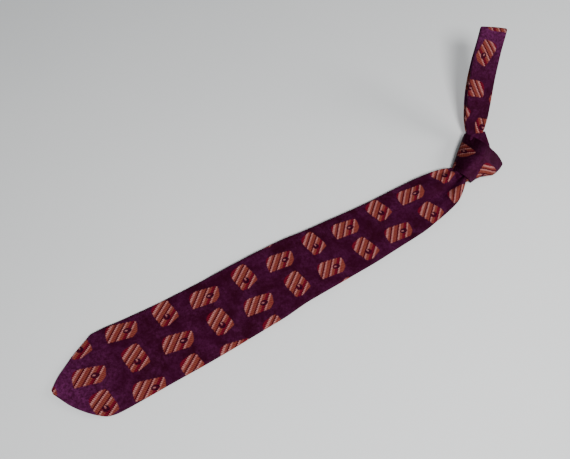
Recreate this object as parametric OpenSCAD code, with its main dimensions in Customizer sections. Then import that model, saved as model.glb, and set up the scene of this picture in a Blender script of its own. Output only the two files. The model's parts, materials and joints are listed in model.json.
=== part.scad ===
// A gentleman's necktie, tied in a four-in-hand knot and laid on its back, with its neck loop raised.
// Millimetres. The table is z = 0 and the front blade points towards -X. The origin lies on the
// table under the knot, on the front blade's centre line.

/* [Front blade] */
// Width at the corners of the point
blade_w = 92; // [86:1:94]
// Length from the tip to the knot's hinge line
blade_len = 522; // [480:1:560]
// Thickness of the folded blade
blade_t = 4; // [3.8:0.1:4.2]
// Height of the blade's underside at the knot
blade_rise = 8; // [8:0.1:8.3]

/* [Knot] */
// Height of the knot
knot_h = 22; // [22:0.1:23]
// Thickness of one folded wrap of the knot
wrap_t = 2.2; // [2:0.1:2.2]

/* [Neck loop] */
// Length of the folded loop, from its hinge line to its crease
loop_len = 132; // [120:1:150]
// Width of the neckband at the knot
loop_knot_w = 27; // [24:1:30]
// Width of the neckband at its crease
loop_fold_w = 33; // [30:1:40]
// Thickness of the folded neckband
loop_t = 2.8; // [2.6:0.1:2.8]
// Angle at which the loop stands up from the table
loop_slope = 42; // [40:1:44]
// Angle of the loop to the front blade, seen from above
loop_turn = 51.3; // [50:0.1:52]

/* [Tail] */
// Length of the tail that lies free under the front blade
tail_len = 280; // [240:1:280]
// Width at the corners of the tail's point
tail_w = 50; // [42:1:54]
// Thickness of the folded tail
tail_t = 2.8; // [2.6:0.1:2.8]

/* [Cloth] */
// Thickness of the silk
silk_t = 0.6; // [0.5:0.05:0.6]
// Thickness of the tipping cloth
tipping_t = 0.4; // [0.3:0.05:0.4]
// Diameter of the sewing thread
thread_d = 0.4; // [0.3:0.05:0.4]
// Width of the seam's slit between the two edges of the silk
slit_w = 0.8; // [0.7:0.1:1]

/* [Hidden] */

silk = "#4a1a45";
silk_dark = "#3a1136";
lining = "#5a2a50";
wool = "#d9cdb8";
thread = "#6c3a62";

gap = 0.3;                // clearance between neighbouring pieces
edge_pts = 6;             // points round each rolled edge
tip_x = -555;
slope = asin(blade_rise / blade_len);

function mix(a, b, t) = a + (b - a) * t;
function line(x, x0, x1, a, b) = mix(a, b, min(1, max(0, (x - x0) / (x1 - x0))));
function ease(t) = t * t * (3 - 2 * t);
function ramp(x, x0, x1, a, b) = mix(a, b, ease(min(1, max(0, (x - x0) / (x1 - x0)))));
function steps(a, b, count) = [for (i = [0:count]) mix(a, b, i / count)];
function joined(lists) = [for (one = lists) each one];

// ---- Folded strips -----------------------------------------------------------------------

// Half circle of a rolled edge, rising on the +Y side and falling on the -Y side
function rolled(side, w, t, r) = [for (i = [0:edge_pts - 1]) let(a = 180 * i / (edge_pts - 1) - 90)
    [side * (max(w - t, 0.1) / 2 + r * cos(a)), side * r * sin(a)]];

// Section of a solid strip of width w and thickness t, drawn smaller all round by inset
function solid_section(w, t, inset) =
    concat(rolled(1, w, t, t / 2 - inset), rolled(-1, w, t, t / 2 - inset));

// The same line left open by a slit in the middle of its lower side
function slit_section(w, t, inset, slit) = let(r = t / 2 - inset)
    concat([[slit / 2, -r]], solid_section(w, t, inset), [[-slit / 2, -r]]);

// Places a section at [along, sideways, up], turned by an angle in the plane of along and up
function placed(section, at, angle = 0) =
    [for (p = section) [at[0] - p[1] * sin(angle), at[1] + p[0], at[2] + p[1] * cos(angle)]];

// Triangles between neighbouring lines of n points, whose first point has the given index
function walls(lines, n, first, wrap, flip) =
    [for (k = [0:lines - 2], i = [0:n - (wrap ? 1 : 2)])
        let(a = first + k * n + i, b = first + k * n + (i + 1) % n)
        each flip ? [[b, a + n, a], [b + n, a + n, b]] : [[a, a + n, b], [b, a + n, b + n]]];

// Solid strip through closed sections
module strip(rings) {
    n = len(rings[0]);
    m = len(rings);
    polyhedron(joined(rings), concat(
        walls(m, n, 0, true, false),
        [[for (i = [0:n - 1]) i], [for (i = [n - 1:-1:0]) (m - 1) * n + i]]));
}

// Cloth between an outer and an inner open line
module folded_cloth(outer, inner) {
    n = len(outer[0]);
    m = len(outer);
    at = m * n;
    end = (m - 1) * n;
    polyhedron(concat(joined(outer), joined(inner)), concat(
        walls(m, n, 0, false, false),
        walls(m, n, at, false, true),
        [for (k = [0:m - 2]) let(a = k * n, b = a + n) each [[a, at + a, b], [b, at + a, at + b]]],
        [for (k = [0:m - 2]) let(a = k * n + n - 1, b = a + n)
            each [[a, b, at + a], [b, at + b, at + a]]],
        [for (i = [0:n - 2]) each [[i, i + 1, at + i], [i + 1, at + i + 1, at + i]]],
        [for (i = [0:n - 2]) let(o = end + i)
            each [[o, at + o, o + 1], [o + 1, at + o, at + o + 1]]]));
}

// Stitches that lie in the slit of a seam, at the given ends [x, y] of each stitch
module slip_stitches(ends) {
    color(thread) for (one = ends) {
        run = one[1] - one[0];
        translate([one[0][0], one[0][1], silk_t / 2]) rotate([0, 90, atan2(run[1], run[0])])
            cylinder(d = thread_d, h = norm(run), $fn = 16);
    }
}

// Close stitches across the end of a seam, at x, just under the cloth
module bar_tack(x, w, count) {
    color(thread) for (i = [0:count - 1])
        translate([x + i * (thread_d + 0.1), 0, -thread_d / 2 - 0.02])
            rotate([90, 0, 0]) cylinder(d = thread_d, h = w, center = true, $fn = 16);
}

// Lining inside the point, over the folded-in edges of the silk
module tipping(tip, corner, end, corner_w, end_w, tip_y) {
    color(lining) translate([0, 0, silk_t + 0.1]) linear_extrude(tipping_t)
        polygon([[tip, tip_y], [corner, -corner_w / 2], [end, -end_w / 2],
            [end, end_w / 2], [corner, corner_w / 2]]);
}

// ---- Front blade: its own frame starts at the tip, on the underside ----------------------

blade_end = blade_len - 2;
blade_seam_x = 172;       // the edges of the silk meet from here to the knot
blade_hem = 14;           // width of the edges folded in round the point

// The blade's two edges as it lies, for the default length and width: [along, left, right]. The
// point is blunt and fuller on its right, the blade bends a little to the right near the knot, and
// its last part is gathered into the knot.
blade_outline = [
    [0, 14.5, 9.5], [10, 23, -9], [20, 29.5, -22.5], [30, 36, -32.5], [40, 41.5, -39],
    [57, 48.8, -43.2], [85, 47.5, -43.6], [130, 44, -44.2], [172, 43, -44.2], [240, 41.5, -43.6],
    [300, 38, -41.4], [360, 32.8, -41.7], [440, 28, -38.4], [465, 26.5, -34.5], [490, 22.5, -29],
    [505, 19.8, -23.5], [513, 17.8, -18.5], [520, 16, -14.5]];
point_len = 57 * blade_len / 522;

function blade_edge(x, side) =
    lookup(x * 522 / blade_len, [for (row = blade_outline) [row[0], row[side] * blade_w / 92]]);
function blade_width(x) = blade_edge(x, 1) - blade_edge(x, 2);
function blade_centre(x) = (blade_edge(x, 1) + blade_edge(x, 2)) / 2;
function blade_slit(x) = max(slit_w, x < point_len ? blade_width(x) - 2 * blade_hem :
    line(x, point_len, blade_seam_x, blade_w - 2 * blade_hem, slit_w));
blade_xs = [for (row = blade_outline) row[0] * blade_len / 522];

module blade_place() {
    translate([tip_x, 0, 0]) rotate([0, -slope, 0]) children();
}

module front_blade_silk() {
    outer = [for (x = blade_xs) placed(slit_section(blade_width(x), blade_t, 0, blade_slit(x)),
        [x, blade_centre(x), blade_t / 2])];
    inner = [for (x = blade_xs) placed(
        slit_section(blade_width(x), blade_t, x == 0 ? blade_t / 2 - 0.05 : silk_t, blade_slit(x)),
        [x, blade_centre(x), blade_t / 2])];
    color(silk) blade_place() folded_cloth(outer, inner);
}

module front_blade_interlining() {
    low = silk_t + tipping_t + gap;
    t = blade_t - silk_t - gap - low;
    color(wool) blade_place() strip([for (x = blade_xs) if (x > 20)
        placed(solid_section(blade_width(x) - 2 * blade_t, t, 0), [x, blade_centre(x), low + t / 2])]);
}

module front_blade_tipping() {
    blade_place() tipping(12, point_len + 4, blade_seam_x + 4, blade_w - 18, 14, 10);
}

module front_blade_slip_stitch() {
    pitch = 10;
    stitch = 6;
    blade_place() slip_stitches([for (x = [blade_seam_x + 2:pitch:blade_end - pitch])
        [[x, blade_centre(x)], [x + stitch, blade_centre(x + stitch)]]]);
}

module front_blade_bar_tack() {
    blade_place() bar_tack(blade_seam_x - 2, 7, 4);
}

module keeper_loop() {
    keeper_x = 196;
    keeper_w = 54;
    strap_w = 14;
    strap_t = 0.5;
    room = 0.8;
    color(silk_dark) blade_place() translate([keeper_x, 0, 0]) rotate([90, 0, 90])
        linear_extrude(strap_w) difference() {
            polygon([[-keeper_w / 2, 0], [-keeper_w / 2 + 3, -room - strap_t],
                [keeper_w / 2 - 3, -room - strap_t], [keeper_w / 2, 0]]);
            polygon([[-keeper_w / 2 + 4, 1], [-keeper_w / 2 + 4, -room],
                [keeper_w / 2 - 4, -room], [keeper_w / 2 - 4, 1]]);
        }
}

// ---- Tail: its own frame starts at its knot end, on the underside ------------------------

tail_x = -32;
tail_y = -2.3;
tail_point = 25;
tail_seam_x = -tail_len + 75;
tail_hem = 10;
feed_from = 2.5;
feed_len = 10;
feed_w = 14;

function tail_width(x) =
    x < tail_point - tail_len ? line(x, -tail_len, tail_point - tail_len, 5, tail_w) :
    x < -60 ? line(x, tail_point - tail_len, -60, tail_w, 30) :
    x < -25 ? line(x, -60, -25, 30, 20) : line(x, -25, 0, 20, feed_w);
function tail_slit(x) = max(slit_w, x < tail_point - tail_len ? tail_width(x) - 2 * tail_hem :
    line(x, tail_point - tail_len, tail_seam_x, tail_w - 2 * tail_hem, slit_w));
tail_xs = concat([for (x = [0, 6, 12, 18]) x - tail_len], steps(tail_point - tail_len, tail_seam_x, 2),
    [-130, -60, -25, -12, 0]);

module tail_place() {
    translate([tail_x, tail_y, tail_len * sin(slope)]) rotate([0, -slope, 0]) children();
}

module tail_silk() {
    outer = [for (x = tail_xs) placed(slit_section(tail_width(x), tail_t, 0, tail_slit(x)),
        [x, 0, tail_t / 2])];
    inner = [for (x = tail_xs) placed(
        slit_section(tail_width(x), tail_t, x == -tail_len ? tail_t / 2 - 0.05 : silk_t, tail_slit(x)),
        [x, 0, tail_t / 2])];
    color(silk) tail_place() folded_cloth(outer, inner);
}

module tail_interlining() {
    low = silk_t + tipping_t + gap / 2;
    t = tail_t - silk_t - gap / 2 - low;
    color(wool) tail_place() strip([for (x = tail_xs) if (x > 10 - tail_len)
        placed(solid_section(tail_width(x) - 2 * tail_t, t, 0), [x, 0, low + t / 2])]);
}

module tail_tipping() {
    tail_place() tipping(8 - tail_len, tail_point + 3 - tail_len, tail_seam_x + 4, tail_w - 14, 12, 0);
}

module tail_slip_stitch() {
    pitch = 10;
    stitch = 6;
    tail_place() slip_stitches([for (x = [tail_seam_x + 4:pitch:-pitch]) [[x, 0], [x + stitch, 0]]]);
}

module tail_bar_tack() {
    tail_place() bar_tack(tail_seam_x - 2, 6, 4);
}

// The part of the tail that runs inside the knot
module tail_strand_in_knot() {
    color(silk_dark) tail_place() strip([for (x = [feed_from, feed_from + feed_len])
        placed(solid_section(feed_w, tail_t, 0), [x, 0, tail_t / 2])]);
}

// ---- Neck loop ---------------------------------------------------------------------------

loop_hinge = [30, 42, 12];
strand_in = 25;           // length of each strand inside the knot
strand_out = 3;
strand_w = 20;
active_z = 8.2;           // undersides of the two strands in the knot
passive_z = 11.4;
loop_start = 11;          // the neckband starts here, clear of the knot when it stands upright
fold_r = 3;               // radius of the crease, to the middle of the cloth
loop_end = loop_len - fold_r - loop_t / 2;
upper_bow = 3.8;          // how far each strand bows away from the other
lower_bow = 6.5;

module loop_place() {
    translate(loop_hinge) rotate([0, -loop_slope, loop_turn]) children();
}

// Distance of the middle of a strand from the loop's middle plane
function strand_height(s, bow) = line(s, loop_start, loop_end, loop_t / 2 + gap, fold_r)
    + bow * sin(180 * (s - loop_start) / (loop_end - loop_start));
function strand_angle(s, bow) = let(d = 0.5)
    atan((strand_height(s + d, bow) - strand_height(s - d, bow)) / (2 * d));
function loop_width(s) = line(s, loop_start, loop_end, loop_knot_w, loop_fold_w);

// The neckband's route: out along the upper strand, round the crease, back along the lower one
loop_ss = steps(loop_start, loop_end, 9);
loop_route = concat(
    [for (s = loop_ss) [s, strand_height(s, upper_bow),
        s == loop_end ? 0 : strand_angle(s, upper_bow), loop_width(s)]],
    [for (a = [30:30:150]) [loop_end + fold_r * sin(a), fold_r * cos(a), -a, loop_fold_w]],
    [for (i = [len(loop_ss) - 1:-1:0]) let(s = loop_ss[i]) [s, -strand_height(s, lower_bow),
        s == loop_end ? -180 : -180 - strand_angle(s, lower_bow), loop_width(s)]]);

module neckband_silk() {
    color(silk) loop_place() folded_cloth(
        [for (p = loop_route) placed(slit_section(p[3], loop_t, 0, slit_w), [p[0], 0, p[1]], p[2])],
        [for (p = loop_route) placed(slit_section(p[3], loop_t, silk_t, slit_w), [p[0], 0, p[1]], p[2])]);
}

module neckband_interlining() {
    t = loop_t - 2 * silk_t - 2 * gap;
    color(wool) loop_place() strip([for (p = loop_route)
        placed(solid_section(p[3] - 2 * loop_t, t, 0), [p[0], 0, p[1]], p[2])]);
}

// Stitches in the slit on the inner face of each strand
module neckband_slip_stitch() {
    reach = loop_t / 2 - silk_t / 2;
    color(thread) loop_place() for (s = [loop_start + 6:10:loop_end - 10], side = [1, -1]) {
        bow = side == 1 ? upper_bow : lower_bow;
        translate([s, 0, side * (strand_height(s, bow) - reach)])
            rotate([0, 90 - side * strand_angle(s, bow), 0])
                cylinder(d = thread_d, h = 5, center = true, $fn = 16);
    }
}

// A strand of the neck loop inside the knot
module strand_in_knot(z) {
    translate([loop_hinge[0], loop_hinge[1], z]) rotate([0, 0, loop_turn])
        strip([for (s = [-strand_in, strand_out])
            placed(solid_section(strand_w, 2.7, 0), [s, 0, 1.35])]);
}

module passive_strand_in_knot() {
    color(silk) strand_in_knot(passive_z);
}

module active_strand_in_knot() {
    color(silk_dark) strand_in_knot(active_z);
}

// ---- Knot --------------------------------------------------------------------------------

// Corners of the knot seen from above, anticlockwise
mouth_right = [-26, -17];
shoulder_right = [26, -17];
turn_low = [34, 12];
turn_top = [41, 33];
shoulder_left = [12, 46];
mouth_left = [-29, 13];

function unit(v) = v / norm(v);

// Corners of a convex outline moved inwards by d
function inset(p, d) = let(n = len(p)) [for (i = [0:n - 1])
    let(u = unit(p[i] - p[(i + n - 1) % n]), v = unit(p[(i + 1) % n] - p[i]),
        m = [-u[1], u[0]], k = [-v[1], v[0]])
    p[i] + d * (m + k) / (1 + m * k)];

wrap_outline = [mouth_right, shoulder_right, turn_low, shoulder_left, mouth_left];
full_outline = [mouth_right, shoulder_right, turn_low, turn_top, shoulder_left, mouth_left];

// The wrap's outline with its two open ends pushed out by past, so that an inset leaves them open
past = 8;
left_side = unit(shoulder_left - mouth_left);
function open_outline(past) = [mouth_right - [past, 0], shoulder_right,
    turn_low + past * unit(turn_low - shoulder_right),
    shoulder_left + past * left_side, mouth_left - past * left_side];

back_t = 3;
wraps_z = back_t + gap;                          // the wraps' feet stand just above the back wrap
front_roof_z = knot_h - wrap_t - gap;
through_z = front_roof_z - gap - wrap_t;
first_roof_z = through_z - gap - wrap_t;
first_from = -3;
first_to = 20;

// The broad band across the front of the knot, with its two sides
module knot_front_wrap() {
    color(silk) difference() {
        translate([0, 0, wraps_z]) linear_extrude(knot_h - wraps_z) polygon(wrap_outline);
        linear_extrude(front_roof_z) polygon(inset(open_outline(past), wrap_t));
    }
}

// The first crossing, hidden under the front wrap
module knot_first_wrap() {
    outside = wrap_t + gap;
    color(silk_dark) difference() {
        translate([0, 0, wraps_z]) linear_extrude(first_roof_z + wrap_t - wraps_z) intersection() {
            polygon(inset(open_outline(past), outside));
            translate([first_from, -60]) square([first_to - first_from, 140]);
        }
        linear_extrude(first_roof_z) polygon(inset(open_outline(3 * past), outside + 1.6));
    }
}

// The blade on its last turn: up behind the right shoulder, over, and down to the mouth
module knot_through_turn() {
    inner = wrap_t + gap;
    mouth_z = blade_rise;
    mouth_x = mouth_left[0] + 2;
    level_x = first_from - 1;                    // the turn lies level from here on
    across = unit(shoulder_left - turn_low);
    foot = turn_low + gap * [across[1], -across[0]];
    color(silk) union() {
        intersection() {
            linear_extrude(knot_h) union() {
                polygon(inset(open_outline(past), inner));
                polygon([turn_low + [0.3, 0.6], turn_top, shoulder_left + [1, 0.3]]);
            }
            translate([0, 60, 0]) rotate([90, 0, 0]) linear_extrude(90) polygon([
                [mouth_x, mouth_z], [level_x, through_z], [50, through_z],
                [50, through_z + wrap_t], [level_x - 1, through_z + wrap_t], [mouth_x, mouth_z + wrap_t]]);
            linear_extrude(knot_h) polygon(full_outline);
        }
        translate([0, 0, wraps_z]) linear_extrude(through_z - wraps_z + 1)
            polygon([foot, turn_top, turn_top - [wrap_t, 0], foot + 1.3 * wrap_t * across]);
    }
}

// The wrap that crosses behind: the knot rests on it
module knot_back_wrap() {
    color(silk_dark) linear_extrude(back_t) polygon(inset(full_outline, 1.5));
}

knot_front_wrap();
knot_through_turn();
knot_first_wrap();
knot_back_wrap();
front_blade_silk();
front_blade_interlining();
front_blade_tipping();
front_blade_slip_stitch();
front_blade_bar_tack();
keeper_loop();
tail_strand_in_knot();
tail_silk();
tail_interlining();
tail_tipping();
tail_slip_stitch();
tail_bar_tack();
passive_strand_in_knot();
active_strand_in_knot();
neckband_silk();
neckband_interlining();
neckband_slip_stitch();
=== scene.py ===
"""A silk necktie tied in a four-in-hand knot, laid on its back with its neck loop raised."""

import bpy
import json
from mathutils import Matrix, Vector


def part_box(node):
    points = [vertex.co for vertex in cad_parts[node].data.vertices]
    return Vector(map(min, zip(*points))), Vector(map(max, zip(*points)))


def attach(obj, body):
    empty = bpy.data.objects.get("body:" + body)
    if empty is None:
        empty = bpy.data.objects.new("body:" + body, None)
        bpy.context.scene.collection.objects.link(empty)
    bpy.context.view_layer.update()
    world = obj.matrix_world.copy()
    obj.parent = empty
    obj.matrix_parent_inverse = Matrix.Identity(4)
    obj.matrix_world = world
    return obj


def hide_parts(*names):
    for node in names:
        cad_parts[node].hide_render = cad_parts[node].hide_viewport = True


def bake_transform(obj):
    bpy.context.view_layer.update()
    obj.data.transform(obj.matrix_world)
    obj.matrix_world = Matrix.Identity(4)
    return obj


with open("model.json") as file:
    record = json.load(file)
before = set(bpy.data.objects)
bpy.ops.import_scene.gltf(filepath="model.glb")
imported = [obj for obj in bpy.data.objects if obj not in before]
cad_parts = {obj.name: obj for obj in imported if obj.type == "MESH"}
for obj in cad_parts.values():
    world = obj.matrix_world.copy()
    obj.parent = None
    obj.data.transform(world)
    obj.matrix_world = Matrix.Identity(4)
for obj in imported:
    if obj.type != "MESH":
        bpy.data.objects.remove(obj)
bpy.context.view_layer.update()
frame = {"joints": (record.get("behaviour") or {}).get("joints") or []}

import json
import math
import bmesh
import bpy
from mathutils import Matrix, Vector

MM = 0.001
CM = 0.01
UP = Vector((0, 0, 1))


# ---- Places, worked out from the CAD frame -------------------------------------------------

def joint(name):
    return next(j for j in frame["joints"] if j["name"] == name)


TAIL_LOW, TAIL_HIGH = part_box("tail_silk")
WRAP_LOW, WRAP_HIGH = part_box("knot_front_wrap")
TIP_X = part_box("front_blade_silk")[0][0]
MOUTH_X = WRAP_LOW[0]
KNOT_TOP = WRAP_HIGH[2]
BACK_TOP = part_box("knot_back_wrap")[1][2]
LIFT_HINGE = Vector(joint("front_blade_lift")["pos_m"])
SWING_HINGE = Vector(joint("tail_swing")["pos_m"])
LOOP_HINGE = Vector(joint("neck_loop_lift")["pos_m"])
LOOP_AXIS = Vector(joint("neck_loop_lift")["axis"])
LOOP_OUT = Vector((-LOOP_AXIS.y, LOOP_AXIS.x, 0)).normalized()
LOOP_SIDE = Vector((-LOOP_OUT.y, LOOP_OUT.x, 0))
LOOP_SLOPE = math.radians(42)
LOOP_LENGTH = 132 * MM
RISE = math.tan(math.asin(joint("tail_slide")["axis"][2]))


# ---- Curves --------------------------------------------------------------------------------

def mix(a, b, t):
    return a + (b - a) * t


def line(x, x0, x1, a, b):
    """A straight slope from a at x0 to b at x1, level outside."""
    return mix(a, b, min(1.0, max(0.0, (x - x0) / (x1 - x0))))


def ramp(x, x0, x1, a, b):
    """A smooth slope from a at x0 to b at x1, level outside."""
    t = min(1.0, max(0.0, (x - x0) / (x1 - x0)))
    return mix(a, b, t * t * (3 - 2 * t))


def steps(a, b, count):
    """Both ends and the even steps between them."""
    return [mix(a, b, i / count) for i in range(count + 1)]


def bulge(t, middle, width):
    """A smooth hump of height 1."""
    return math.exp(-((t - middle) / width) ** 2)


def smooth_line(points, x):
    """Height at x of a smooth line through points, whose slopes never overshoot."""
    if x <= points[0][0]:
        return points[0][1]
    if x >= points[-1][0]:
        return points[-1][1]
    i = max(k for k in range(len(points) - 1) if points[k][0] <= x)

    def rise(k):
        return (points[k + 1][1] - points[k][1]) / (points[k + 1][0] - points[k][0])

    def slope(k):
        if k == 0 or k == len(points) - 1:
            return rise(min(k, len(points) - 2))
        before, after = rise(k - 1), rise(k)
        return 0 if before * after <= 0 else 2 * before * after / (before + after)

    (x0, y0), (x1, y1) = points[i], points[i + 1]
    h, t = x1 - x0, (x - x0) / (x1 - x0)
    return ((1 + 2 * t) * (1 - t) ** 2 * y0 + t * (1 - t) ** 2 * h * slope(i)
            + t * t * (3 - 2 * t) * y1 + t * t * (t - 1) * h * slope(i + 1))


def curve_point(a, b, c, d, t):
    """A point between b and c on the Catmull-Rom curve through four points."""
    return 0.5 * (2 * b + (c - a) * t + (2 * a - 5 * b + 4 * c - d) * t * t
                  + (3 * b - a - 3 * c + d) * t ** 3)


def path_length(points):
    return sum((b - a).length for a, b in zip(points, points[1:]))


# ---- Meshes --------------------------------------------------------------------------------

def add_mesh(name, points, faces, uvs=None):
    """A smooth mesh object. uvs has one pair for each corner of each face."""
    mesh = bpy.data.meshes.new(name)
    mesh.from_pydata([tuple(p) for p in points], [], faces)
    if uvs:
        layer = mesh.uv_layers.new(name="cloth")
        layer.data.foreach_set("uv", [value for pair in uvs for value in pair])
    mesh.polygons.foreach_set("use_smooth", [True] * len(faces))
    mesh.update()
    obj = bpy.data.objects.new(name, mesh)
    bpy.context.scene.collection.objects.link(obj)
    return obj


def add_grid(name, rows, cloth, close_rows=False, close_columns=False):
    """Quads between rows of points. cloth holds each point's place in the cloth, in centimetres.

    A closed direction repeats its first line at the end of rows or of each row.
    """
    count, width = len(rows), len(rows[0])
    last_row = count - 1 if close_rows else count
    last_column = width - 1 if close_columns else width
    points = [rows[i][j] for i in range(last_row) for j in range(last_column)]

    def index(i, j):
        return (i % last_row) * last_column + j % last_column

    faces, uvs = [], []
    for i in range(count - 1):
        for j in range(width - 1):
            corners = [(i, j), (i, j + 1), (i + 1, j + 1), (i + 1, j)]
            faces.append([index(*c) for c in corners])
            uvs += [cloth[a][b] for a, b in corners]
    return add_mesh(name, points, faces, uvs)


def join_meshes(name, parts):
    """One mesh object from (points, faces) parts."""
    points, faces = [], []
    for part_points, part_faces in parts:
        start = len(points)
        points += part_points
        faces += [[start + i for i in face] for face in part_faces]
    return add_mesh(name, points, faces)


def tube(path, radius, sides=8):
    """Points and faces of a round thread along a path, with closed ends."""
    points, faces = [], []
    for i, p in enumerate(path):
        ahead = path[min(i + 1, len(path) - 1)] - path[max(i - 1, 0)]
        side = ahead.cross(UP)
        side = (side if side.length > 1e-9 else Vector((1, 0, 0))).normalized()
        up = side.cross(ahead).normalized()
        for k in range(sides):
            a = 2 * math.pi * k / sides
            points.append(p + radius * (math.cos(a) * side + math.sin(a) * up))
    for i in range(len(path) - 1):
        for k in range(sides):
            a, b = i * sides + k, i * sides + (k + 1) % sides
            faces.append([a, a + sides, b + sides, b])
    faces.append(list(range(sides)))
    faces.append([(len(path) - 1) * sides + k for k in reversed(range(sides))])
    return points, faces


def thicken(obj, thickness, offset):
    """Gives a cloth its thickness: outwards for an offset of 1, to both sides for 0."""
    modifier = obj.modifiers.new("thickness", "SOLIDIFY")
    modifier.thickness = thickness
    modifier.offset = offset
    modifier.use_even_offset = False
    graph = bpy.context.evaluated_depsgraph_get()
    mesh = bpy.data.meshes.new_from_object(obj.evaluated_get(graph), depsgraph=graph)
    obj.modifiers.clear()
    obj.data = mesh


def outward(obj):
    """Turns a closed mesh's faces outwards."""
    work = bmesh.new()
    work.from_mesh(obj.data)
    bmesh.ops.recalc_face_normals(work, faces=work.faces)
    work.to_mesh(obj.data)
    work.free()
    return obj


# ---- Materials -----------------------------------------------------------------------------

class Nodes:
    """Short calls that build a node tree. A value is a number or another node's output."""

    def __init__(self, name):
        self.material = bpy.data.materials.new(name)
        self.material.use_nodes = True
        self.tree = self.material.node_tree
        self.shader = self.tree.nodes["Principled BSDF"]

    def make(self, kind, **settings):
        node = self.tree.nodes.new(kind)
        for key, value in settings.items():
            setattr(node, key, value)
        return node

    def put(self, socket, value):
        if isinstance(value, bpy.types.NodeSocket):
            self.tree.links.new(value, socket)
        else:
            socket.default_value = value

    def math(self, operation, *values, clamp=False):
        node = self.make("ShaderNodeMath", operation=operation, use_clamp=clamp)
        for socket, value in zip(node.inputs, values):
            self.put(socket, value)
        return node.outputs[0]

    def add(self, a, b):
        return self.math("ADD", a, b)

    def sub(self, a, b):
        return self.math("SUBTRACT", a, b)

    def mul(self, a, b):
        return self.math("MULTIPLY", a, b)

    def wave(self, value, period):
        """A sine from 0 to 1 along value."""
        return self.add(self.mul(self.math("SINE", self.mul(value, 2 * math.pi / period)), 0.5), 0.5)

    def choose(self, switch, a, b):
        """a where switch is 0, b where it is 1."""
        return self.add(a, self.mul(switch, self.sub(b, a)))

    def inside(self, distance, soft):
        """1 where distance is below zero, with an edge of the given softness."""
        node = self.make("ShaderNodeMapRange", interpolation_type="SMOOTHSTEP")
        for socket, value in zip(node.inputs, (distance, -soft, soft, 1.0, 0.0)):
            self.put(socket, value)
        return node.outputs[0]

    def colour(self, factor, a, b, blend="MIX"):
        node = self.make("ShaderNodeMix", data_type="RGBA", blend_type=blend)
        self.put(node.inputs[0], factor)
        self.put(node.inputs[6], a)
        self.put(node.inputs[7], b)
        return node.outputs[2]

    def ramp(self, value, stops, interpolation="LINEAR"):
        node = self.make("ShaderNodeValToRGB")
        node.color_ramp.interpolation = interpolation
        elements = node.color_ramp.elements
        while len(elements) < len(stops):
            elements.new(0.5)
        for element, (place, tint) in zip(elements, stops):
            element.position = place
            element.color = tint
        self.put(node.inputs[0], value)
        return node.outputs[0]

    def fade(self, value, start, end):
        """Grey along value, from one pair of place and level to another."""
        return self.ramp(value, [(place, (level, level, level, 1)) for place, level in (start, end)])

    def noise(self, vector, scale, detail, roughness):
        node = self.make("ShaderNodeTexNoise")
        self.put(node.inputs["Vector"], vector)
        node.inputs["Scale"].default_value = scale
        node.inputs["Detail"].default_value = detail
        node.inputs["Roughness"].default_value = roughness
        return node.outputs[0]

    def bump(self, height, distance, strength):
        node = self.make("ShaderNodeBump")
        node.inputs["Strength"].default_value = strength
        node.inputs["Distance"].default_value = distance
        self.put(node.inputs["Height"], height)
        return node.outputs[0]

    def constant(self, **values):
        for name, value in values.items():
            self.shader.inputs[name.replace("_", " ")].default_value = value


GROUND = (0.021, 0.0011, 0.0082, 1)
# The paler ground, mixed in for rubbed patches and as painted sheen near the tip
GROUND_PALE_AND_SHEEN = (0.118, 0.017, 0.086, 1)
GROUND_WARM = (0.016, 0.0009, 0.0036, 1)
PALE = (0.38, 0.170, 0.155, 1)
ORANGE = (0.195, 0.047, 0.032, 1)
CRIMSON = (0.125, 0.005, 0.016, 1)
DARK_RED = (0.055, 0.003, 0.008, 1)
EYE = (0.024, 0.002, 0.012, 1)
COMMA = (0.28, 0.120, 0.120, 1)
FURROW_SHADE = (0.40, 0.20, 0.20, 1)      # painted shade: multiplies a motif's colour between its ribs
SHADED = (0.14, 0.07, 0.07, 1)      # painted shade: multiplies the silk's colour on the knot's side away from the light

# The stripes of a motif, as (edge in centimetres from the motif's middle, colour from there on)
STRIPES = [(-1.60, CRIMSON), (-1.14, PALE), (-0.90, ORANGE), (-0.70, DARK_RED), (-0.54, PALE),
           (-0.36, ORANGE), (0.00, DARK_RED), (0.15, PALE), (0.32, ORANGE), (0.60, CRIMSON),
           (0.84, DARK_RED), (0.95, PALE), (1.12, ORANGE)]
STRIPE_REACH = 1.7

# The pattern in centimetres. Two motifs take turns along each row, and each row is shifted
# against the one beside it.
REPEAT = 9.45
ROW_STEP = 3.55
ROW_SHIFT = REPEAT / 2 + 0.05
FIRST_MOTIF = 3.69
NEXT_MOTIF = 5.0
RIB = 0.21
CORNER = 0.16           # how far a motif's corners are rounded
EDGE_STEP = 0.09        # how far each rib pushes a motif's edge
EDGE_SOFT = 0.035
STRIPE_STEP = 0.07      # how far each rib pushes a stripe's edge
SPOT_SOFT = 0.14        # of a spot's size
TWILL = 0.062
CROSS_TWILL = 0.045
TIP_SHEEN = 10.0         # painted sheen: the cloth is painted paler within this distance of the tip, where it catches more light


class Motif:
    """A striped shape with a dark eye and a pale comma in it, in centimetres from its middle.

    outline holds the corners of a shape without hollows, in the order of a clock's hands.
    stripe_turn is the stripes' angle to the row, in degrees.
    """

    def __init__(self, outline, stripe_turn, eye, eye_size, comma, comma_size):
        self.outline = outline
        self.stripe_turn = math.radians(stripe_turn)
        self.eye = eye
        self.eye_size = eye_size
        self.comma = comma
        self.comma_size = comma_size


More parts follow.
